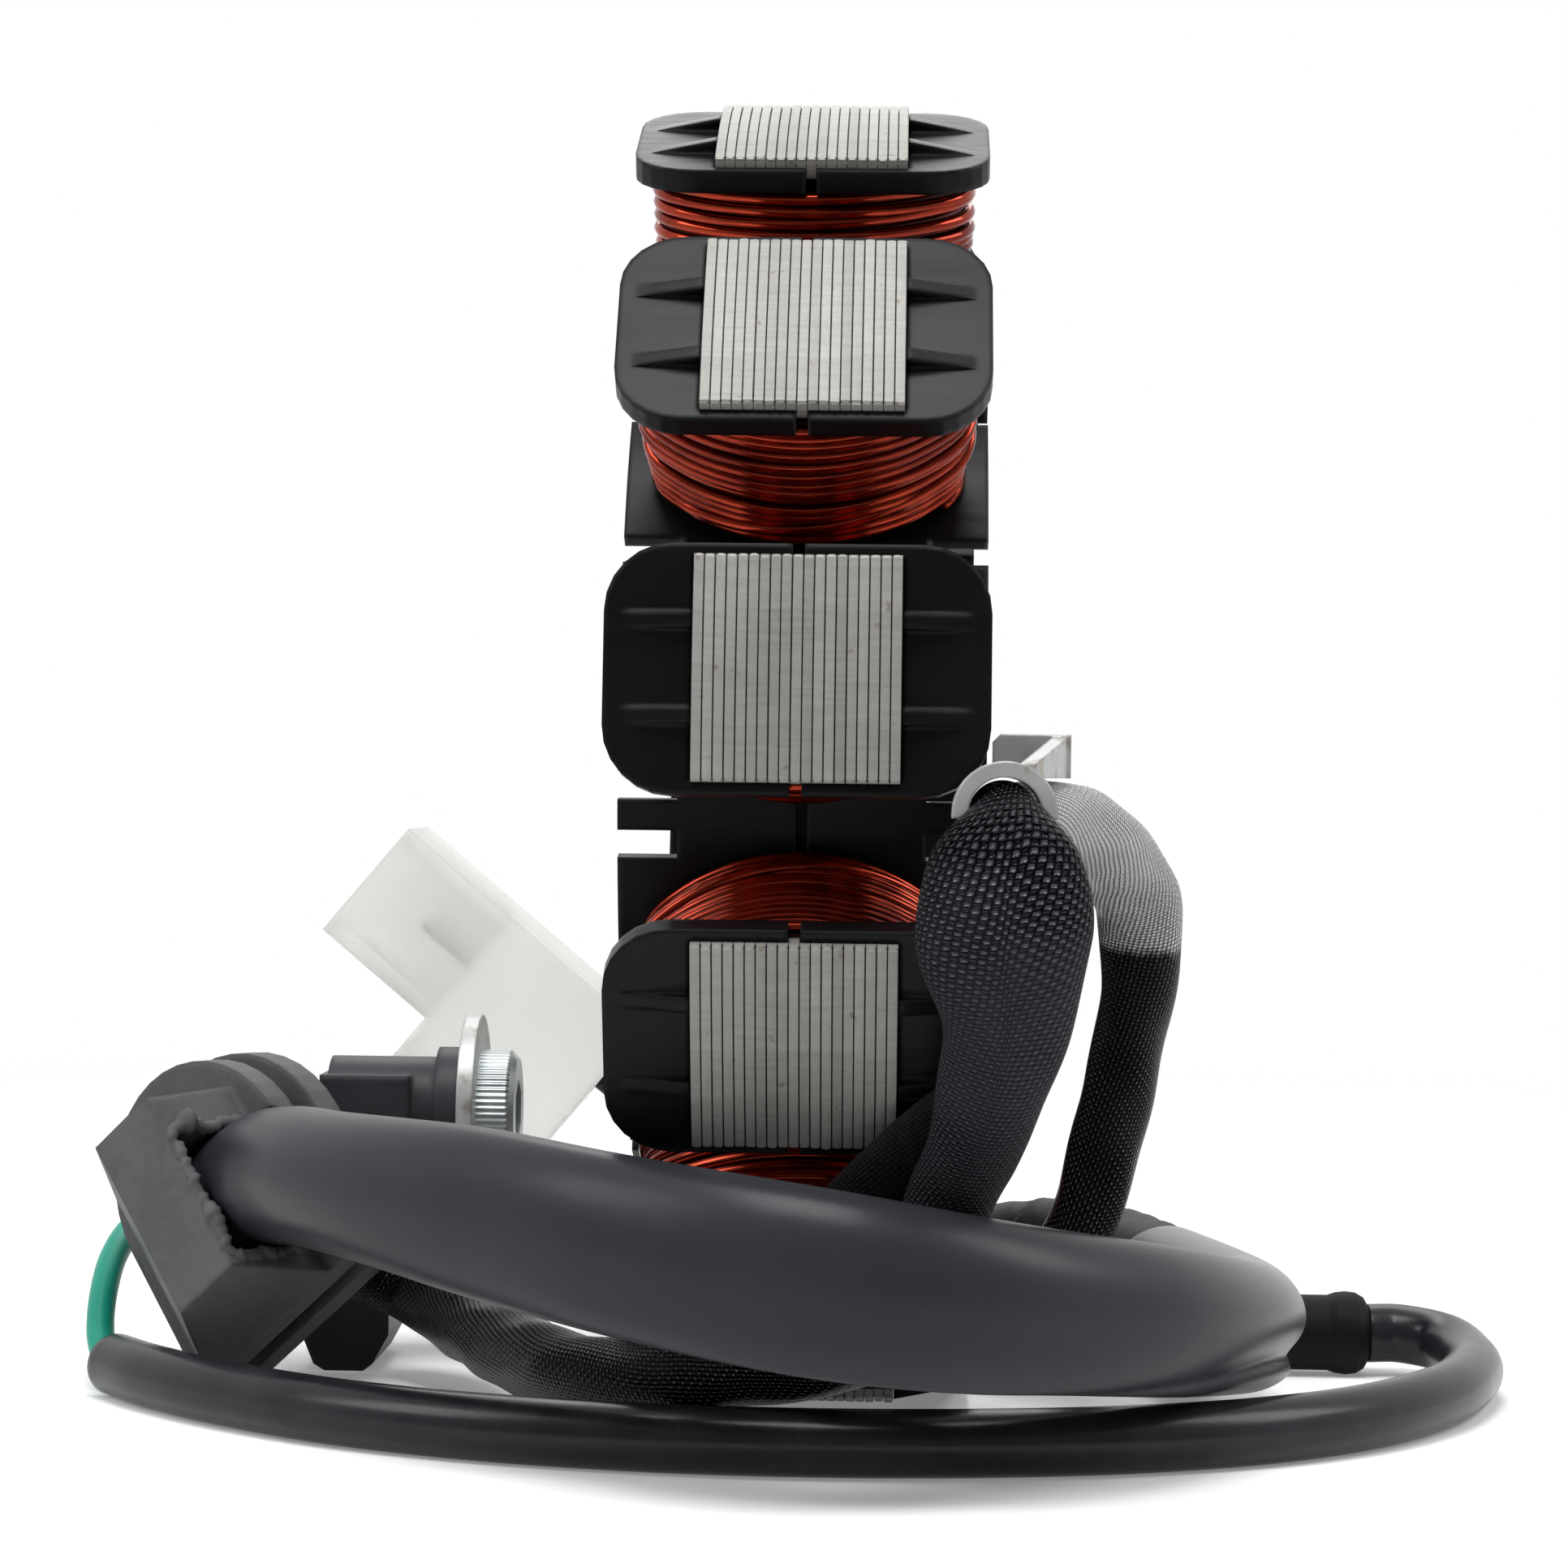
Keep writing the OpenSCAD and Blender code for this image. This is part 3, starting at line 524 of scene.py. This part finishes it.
def crossing(seed):
    """Path of a crossing lead: half a turn and more round the oval over the outer layer, climbing
    several pitches as it goes."""
    draw = np.random.default_rng(seed)
    s = draw.uniform(0.0, 1.0) + np.linspace(0.0, 0.7, 60)
    height = coil_inner + 1.2 + np.linspace(0.0, draw.uniform(3.0, 8.0), 60)
    share = (height - coil_inner) / (coil_outer - coil_inner)
    ease = np.sin(np.linspace(0.0, np.pi, 60)) ** 0.3
    offset = -coil_taper * (1 - share) ** 1.5 - wire_radius - 0.5 + 1.05 * ease
    return np.stack([*oval(s, offset), height], -1)


def to_pole(k):
    """Matrix that turns points from a pole's own frame to pole k: a turn about the bore by the first pole's
    angle less k steps."""
    c, s = math.cos(first_pole - pole_step * k), math.sin(first_pole - pole_step * k)
    return np.array([(1, 0, 0), (0, c, s), (0, -s, c)])


def coil_wire(path, k):
    """A round tube along a wire's path, turned to pole k."""
    grid, laid = tube(path, round_size(path, wire_radius), one_way(path, (0.0, 0.0, 1.0)), 8)
    return grid @ to_pole(k), laid


enamel, place, lay, dress = look("copper_enamel", Metallic=0.85)
tint = lay.drawn(0.05, 0.0, 0.0).noise(3.0) * 0.5 + place.noise(90.0) * 0.5
dress(Base_Color=tint.step(0.3, 0.7).mix((0.06, 0.004, 0.002), (0.38, 0.038, 0.013)),
      Roughness=0.08 + 0.1 * tint)
# Painted shade: the under layer gets a darker copy of the outer turns' enamel, for the shade under the outer
# turns.
shaded_enamel, place, lay, dress = look("shaded_enamel", Metallic=0.6)
tint = place.noise(150.0)
dress(Base_Color=tint.mix((0.02, 0.002, 0.001), (0.07, 0.007, 0.003)), Roughness=0.25 + 0.2 * tint)
for k in range(poles):
    coil = f"coil_{k + 1:02d}"
    outer = piece(f"{coil}_turns", *coil_wire(winding(outer_turns, 31 + k, 0.0, 0.42), k))
    under = piece(f"{coil}_under_layer", *coil_wire(winding(inner_turns, 131 + k, 0.75, 0.1), k))
    lead = piece(f"{coil}_crossing_lead", *coil_wire(crossing(231 + k), k))
    wear(outer, enamel)
    wear(lead, enamel)
    wear(under, shaded_enamel)
    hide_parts(coil)
wear(nodes["winding_leads"], enamel)


# Core: a stack of punched steel sheets. The edge of each sheet is a flat bar on the pole face,
# a little higher or lower than its neighbours, dull grey with fine scratches and brown specks.
# Inside the insulators the steel is painted near black: painted shade where it shows in their slots.
sheet_step, sheet_count = 0.8, 19
face_half, core_radius = 8.3, 55.0
covered_from, covered_to = 33.0, 53.6
steel, place, lay, dress = look("sheet_steel", Metallic=0.2, Specular_IOR_Level=0.2)
axial = place.part(0) / (sheet_step * MM)
sheet = axial.math("FLOOR", axial + 0.5)
tone = sheet.add("TexWhiteNoise", {"noise_dimensions": "1D"}, 0, W=sheet)
gap = (axial - sheet).math("ABSOLUTE", axial - sheet).step(0.44, 0.48)
scratch = place.drawn(0.12, 1.0, 1.0).noise(2600.0, 4.0)
blotch = place.noise(160.0, 4.0)
speck = place.noise(800.0, 2.0).step(0.68, 0.75)
# Painted shade: between the insulators' inner and outer radii the steel is painted near black, for the shade
# in their slots.
radius = place.math("SQRT", place.part(1) ** 2.0 + place.part(2) ** 2.0)
covered = radius.step((covered_from - 0.5) * MM, (covered_from + 0.5) * MM)
covered = covered * (1 - radius.step((covered_to - 0.3) * MM, (covered_to + 0.3) * MM))
shade = (tone * 0.25 + scratch * 0.6 + blotch * 0.4 - 0.12).clamp()
worn = (speck * 0.6).mix(shade.mix((0.2, 0.197, 0.185), (0.42, 0.415, 0.39)), (0.17, 0.13, 0.08))
dark = gap.math("MAXIMUM", gap, covered)
dress(Base_Color=dark.mix(worn, (0.01, 0.01, 0.01)), Roughness=0.42 + 0.2 * blotch,
      Normal=scratch.bump(0.00003))
wear(nodes["lamination_stack"], steel)

draw = np.random.default_rng(7)
bar_y = np.array([-1.0, -0.975, -0.5, 0.0, 0.5, 0.975, 1.0])
bar_end = np.array([0.5, 1.0, 1.0, 1.0, 1.0, 1.0, 0.5])
bars = []
for k in range(poles):
    for i in range(sheet_count):
        y = bar_y * (face_half + draw.normal(0, 0.05))
        top = np.sqrt(core_radius**2 - y**2) - 0.1 + draw.normal(0, 0.03)
        path = np.stack([np.full(7, (i - 9) * sheet_step + draw.normal(0, 0.006)), y, top], -1)
        half = np.stack([0.365 * bar_end, 0.26 * bar_end], -1)
        bars.append(tube(path, half, one_way(path, (0.0, 0.0, 1.0)), 8, None, 9.0)[0] @ to_pole(k))
sheet_edges = piece("sheet_edges", np.array(bars))
sheet_edges.data.shade_flat()
wear(sheet_edges, steel)

# Rivets and the pickup's core pin: plain turned steel. The rivets hold the sheets together,
# the pin is pressed into the pickup's body.
plain_steel, place, lay, dress = look("plain_steel", Metallic=0.85)
dress(Base_Color=place.noise(300.0).mix((0.24, 0.24, 0.24), (0.42, 0.42, 0.41)),
      Roughness=0.35 + 0.2 * place.noise(150.0))
for name in ("stack_rivets", "pickup_core"):
    wear(nodes[name], plain_steel)

# Insulators: two black moulded halves pressed over the stack from both sides. The plastic is satin,
# streaked by the mould, with softly rounded edges.
moulding, place, lay, dress = look("black_moulding", Specular_IOR_Level=0.13)
haze = place.noise(90.0, 4.0)
streak = place.drawn(0.15, 1.0, 1.0).noise(700.0, 3.0)
edge = place.add("Bevel", {"samples": 6}, 0, Radius=0.0006)
dress(Base_Color=haze.mix((0.002, 0.002, 0.002), (0.006, 0.006, 0.008)),
      Roughness=0.22 + 0.2 * haze + 0.1 * streak, Normal=(streak * 0.3 + haze * 0.7).bump(0.0002, edge))
for side in ("left", "right"):
    wear(nodes[f"insulator_{side}"], moulding)

# Clip and pickup washer: zinc-plated steel with brown stains. The clip is a strip bent to an arch
# over the woven sleeve and crimped, with a bent tab behind; the washer lies under the screw's head.
zinc, place, lay, dress = look("zinc_plate", Metallic=0.4, Specular_IOR_Level=0.3)
cloud = place.noise(260.0, 4.0)
stain = place.noise(600.0, 3.0).step(0.52, 0.68)
edge = place.add("Bevel", {"samples": 6}, 0, Radius=0.0003)
dress(Base_Color=(stain * 0.6).mix(cloud.mix((0.34, 0.35, 0.34), (0.6, 0.62, 0.61)), (0.22, 0.17, 0.11)),
      Roughness=0.28 + 0.25 * cloud, Normal=cloud.bump(0.0001, edge))
for name in ("cable_clip", "pickup_washer"):
    wear(nodes[name], zinc)

# Pickup screw: steel with a bluish zinc finish, screwed through the washer into the pickup's arm.
# Its head is knurled with fine ridges along the axis.
screw_y, screw_z, knurl_count = 13.0 * MM, -32.3 * MM, 60.0
blued, place, lay, dress = look("blued_zinc", Metallic=0.6)
out_y, out_z = place.part(1) - screw_y, place.part(2) - screw_z
ridge = (out_z.math("ARCTAN2", out_z, out_y) * knurl_count).wave() * 0.5 + 0.5
from_axis = place.math("SQRT", out_y * out_y + out_z * out_z)
side_of_head = from_axis.step(0.0051, 0.0053)
cloud = place.noise(500.0, 3.0)
dress(Base_Color=cloud.mix((0.3, 0.34, 0.36), (0.55, 0.58, 0.57)), Roughness=0.22 + 0.2 * cloud,
      Normal=(ridge * side_of_head).bump(0.0001))
wear(nodes["pickup_screw"], blued)

# Grommet: one piece of matte moulded rubber, pushed over the main sleeve, with a groove for the case.
# Its skin has a pale bloom and is soft at the edges.
rubber, place, lay, dress = look("matte_rubber", Specular_IOR_Level=0.16)
bloom = place.noise(120.0, 5.0)
pit = place.noise(900.0, 4.0)
edge = place.add("Bevel", {"samples": 6}, 0, Radius=0.0008)
dress(Base_Color=(bloom * 0.7 + pit * 0.3).mix((0.045, 0.045, 0.049), (0.16, 0.163, 0.17)),
      Roughness=0.45 + 0.25 * bloom, Normal=pit.bump(0.00005, edge))
wear(nodes["grommet"], rubber)

# Torn lip: the ragged bead of flash left round the mouth of the grommet's hood.
# It is the same rubber, uneven where it was torn from the mould, with two tabs.
grommet_at = np.array((-51.5, -4.4, -37.6))
grommet_turn, grommet_tilt = math.radians(-34.0), math.radians(-38.0)
lip_route = [
    (7.5, -0.6, 1.5), (7.3, -4.5, 1.4), (7.0, -8.3, 1.4), (6.9, -8.9, -1), (6.9, -8.9, -4.5),
    (6.9, -8.9, -8.5), (6.95, -8.4, -10.9), (7.2, -5, -11.1), (7.5, -1, -11.3)]
lip_radius = 0.55


def lip_relief(along, turn):
    """Uneven flash: waves of four lengths along the bead, different on each side, and two tabs."""
    waves = sum(np.sin(along * f + p + turn) for f, p in ((1.1, 0.0), (2.3, 2.0), (4.1, 4.4), (7.3, 1.2)))
    tabs = 1.3 * np.exp(-(((along - 6.4) / 0.8) ** 2)) + 0.7 * np.exp(-(((along - 16.5) / 0.9) ** 2))
    return 0.09 * waves + tabs * (0.5 + 0.5 * np.cos(turn - 1.2)) ** 3


turn_z = np.array([(math.cos(grommet_turn), -math.sin(grommet_turn), 0),
                   (math.sin(grommet_turn), math.cos(grommet_turn), 0), (0, 0, 1)])
turn_y = np.array([(math.cos(grommet_tilt), 0, math.sin(grommet_tilt)), (0, 1, 0),
                   (-math.sin(grommet_tilt), 0, math.cos(grommet_tilt))])
lip_path = smooth(lip_route, 22)
lip_grid, lip_lay = tube(lip_path, round_size(lip_path, lip_radius), one_way(lip_path, (1.0, 0.0, 0.0)),
                         14, lip_relief)
lip = piece("hood_lip", lip_grid @ (turn_z @ turn_y).T + grommet_at, lip_lay)
wear(lip, rubber)

# Boot: a soft black rubber cap over the round terminal at the end of the thin tube.
# The tube is pushed into it.
cap, place, lay, dress = look("boot_rubber", Specular_IOR_Level=0.12)
bloom = place.noise(300.0, 4.0)
dress(Base_Color=bloom.mix((0.002, 0.002, 0.003), (0.009, 0.009, 0.01)), Roughness=0.5 + 0.2 * bloom,
      Normal=bloom.bump(0.00005))
wear(nodes["tube_boot"], cap)

# Pickup coil: a black moulded body with an arm for its screw.
# A short vinyl-covered lead goes from it to the grommet.
pickup, place, lay, dress = look("pickup_moulding", Specular_IOR_Level=0.18)
haze = place.noise(150.0, 4.0)
edge = place.add("Bevel", {"samples": 6}, 0, Radius=0.0009)
dress(Base_Color=haze.mix((0.02, 0.02, 0.024), (0.05, 0.051, 0.058)), Roughness=0.3 + 0.2 * haze,
      Normal=haze.bump(0.0001, edge))
wear(nodes["pickup_body"], pickup)
wear(nodes["pickup_lead"], wire_black)

# Connector: a moulded housing of milky nylon that lets some light into its walls.
# Its terminals, and the one in the boot, are stamped from tinned brass.
nylon, place, lay, dress = look("milky_nylon", Specular_IOR_Level=0.3, Transmission_Weight=0.65, IOR=1.25)
murk = place.noise(80.0, 3.0)
edge = place.add("Bevel", {"samples": 6}, 0, Radius=0.0008)
dress(Base_Color=murk.mix((0.88, 0.875, 0.85), (0.94, 0.938, 0.92)), Roughness=0.5 + 0.15 * murk,
      Normal=murk.bump(0.0002, edge))
wear(nodes["connector_housing"], nylon)
tinned, place, lay, dress = look("tinned_brass", Metallic=0.9)
dress(Base_Color=place.noise(500.0).mix((0.35, 0.32, 0.25), (0.55, 0.52, 0.44)),
      Roughness=0.3 + 0.2 * place.noise(200.0))
for name in ("connector_terminals", "boot_terminal"):
    wear(nodes[name], tinned)


# Studio: a white floor that fades out into the white all round it, one broad lamp above, one behind and
# one to each side. What shines shows the white room too, dim towards the front as a dark doorway would be.
floor_level = -0.055
front_dim = 0.95
floor_reach, fade_from, fade_to = 0.6, 0.1, 0.42
floor_mesh = bpy.data.meshes.new("floor")
corners = np.array([(-1, -1), (1, -1), (1, 1), (-1, 1)]) * floor_reach
floor_mesh.from_pydata(np.column_stack([corners, np.full(4, floor_level)]), [], [(0, 1, 2, 3)])
floor = bpy.data.objects.new("floor", floor_mesh)
scene.collection.objects.link(floor)
paper, place, lay, dress = look("white_paper", Roughness=0.8, Specular_IOR_Level=0.1)
reach = place.math("SQRT", place.part(0) ** 2.0 + place.part(1) ** 2.0)
seen = place.add("LightPath", None, "Is Camera Ray") + place.add("LightPath", None, "Is Glossy Ray")
seen = (seen + place.add("LightPath", None, "Is Transmission Ray")).clamp()
dress(Base_Color=place.noise(3.0).mix((0.88, 0.88, 0.88), (0.9, 0.9, 0.9)),
      Alpha=1 - reach.step(fade_from, fade_to),
      Emission_Color=seen.mix((0.0, 0.0, 0.0), (0.2, 0.2, 0.2)), Emission_Strength=1.0)
floor_mesh.materials.append(paper)

world = bpy.data.worlds.new("studio")
scene.world = world
world.use_nodes = True
sky = world.node_tree.nodes["Background"]
sky.inputs["Color"].default_value = (1.0, 1.0, 1.0, 1.0)
room = Paint(world.node_tree)
front = 1 - room.add("TexCoord", None, "Object").part(1).step(-0.85, -0.1)
seen = room.add("LightPath", None, "Is Camera Ray") + room.add("LightPath", None, "Is Transmission Ray")
seen = (seen + room.add("LightPath", None, "Is Glossy Ray") * (1 - front_dim * front)).clamp()
fill = 0.22
world.node_tree.links.new((fill + (1 - fill) * seen).socket, sky.inputs["Strength"])


def lamp(name, place, aim, size, power):
    """A square area lamp at `place`, turned to face `aim`."""
    data = bpy.data.lights.new(name, "AREA")
    data.size, data.energy = size, power
    obj = bpy.data.objects.new(name, data)
    turned = (Vector(aim) - Vector(place)).to_track_quat("-Z", "Y").to_matrix().to_4x4()
    obj.matrix_world = Matrix.Translation(place) @ turned
    scene.collection.objects.link(obj)


lamp("top_lamp", (-0.03, -0.2, 0.5), (0.0, 0.0, 0.0), 0.3, 2.6)
lamp("left_lamp", (-0.45, -0.2, 0.35), (0.0, 0.0, -0.01), 0.25, 1.05)
lamp("back_lamp", (0.0, 0.38, 0.38), (0.0, 0.0, 0.03), 0.3, 0.7)
lamp("right_lamp", (0.45, -0.05, 0.35), (0.0, 0.0, -0.01), 0.25, 1.15)
scene.view_settings.view_transform = "Standard"
